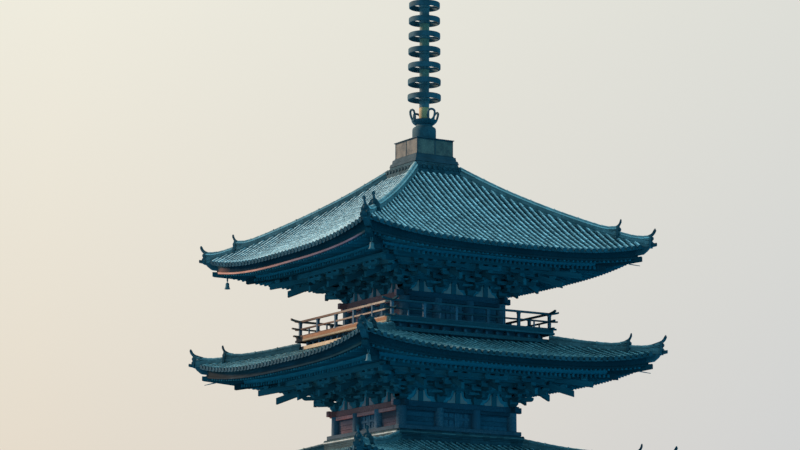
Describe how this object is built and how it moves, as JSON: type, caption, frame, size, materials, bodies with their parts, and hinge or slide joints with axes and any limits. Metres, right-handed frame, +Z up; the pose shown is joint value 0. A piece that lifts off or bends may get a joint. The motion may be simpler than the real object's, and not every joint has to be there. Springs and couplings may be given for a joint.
{
  "type": "five-storey timber pagoda",
  "caption": "Timber pagoda on a stone podium, with curved tiled roofs, stepped brackets, a railed balcony and a bronze spire of rings.",
  "frame": {"origin": "on the ground, on the tower's axis, at the middle of the podium's underside", "axes": "+Z up along the spire, -Y towards the front steps, +X to the right seen from the front"},
  "size_m": [14.7722, 14.7722, 38.8],
  "materials": {
    "stone": "dressed granite, matt",
    "timber": "old cypress, dark and weathered",
    "boards": "old boards, dark red-brown",
    "tiles": "smoked clay tiles, weathered",
    "bronze": "cast bronze with dark green patina",
    "bell_bronze": "cast bronze, dull",
    "plaster": "lime plaster, soiled"
  },
  "bodies": {
    "tower": {"stone_podium": "stone", "storey_1_frame": "timber", "storey_1_walls": "boards", "storey_1_doors": "boards", "storey_1_brackets": "timber", "storey_1_eaves": "timber", "storey_1_roof": "tiles", "storey_2_frame": "timber", "storey_2_walls": "boards", "storey_2_doors": "boards", "storey_2_floor": "boards", "storey_2_brackets": "timber", "storey_2_eaves": "timber", "storey_2_roof": "tiles", "storey_3_frame": "timber", "storey_3_walls": "boards", "storey_3_doors": "boards", "storey_3_floor": "boards", "storey_3_brackets": "timber", "storey_3_eaves": "timber", "storey_3_roof": "tiles", "storey_4_frame": "timber", "storey_4_walls": "boards", "storey_4_doors": "boards", "storey_4_floor": "boards", "storey_4_brackets": "timber", "storey_4_eaves": "timber", "storey_4_roof": "tiles", "storey_5_frame": "timber", "storey_5_walls": "boards", "storey_5_doors": "boards", "storey_5_floor": "boards", "storey_5_brackets": "timber", "storey_5_eaves": "timber", "storey_5_roof": "tiles", "balcony_deck": "timber", "balcony_railing": "timber", "spire_dew_basin": "bronze", "spire_bowl": "bronze", "spire_lotus": "bronze", "spire_ringed_shaft": "bronze", "spire_water_flame": "bronze", "spire_wheel_and_jewel": "bronze"},
    "bell_top_near": {"bell_top_near": "bell_bronze"},
    "bell_top_left": {"bell_top_left": "bell_bronze"},
    "bell_fourth_near": {"bell_fourth_near": "bell_bronze"}
  },
  "joints": [
    {"name": "bell_top_near_swing", "type": "hinge", "parent": "tower", "child": "bell_top_near", "pos_m": [-5.47, -5.47, 23.23], "axis": [0.7071, -0.7071, 0], "range_deg": [-25, 25]},
    {"name": "bell_top_left_swing", "type": "hinge", "parent": "tower", "child": "bell_top_left", "pos_m": [-5.47, 5.47, 23.23], "axis": [0.7071, 0.7071, 0], "range_deg": [-25, 25]},
    {"name": "bell_fourth_near_swing", "type": "hinge", "parent": "tower", "child": "bell_fourth_near", "pos_m": [-5.72, -5.72, 19.22], "axis": [0.7071, -0.7071, 0], "range_deg": [-25, 25]}
  ]
}
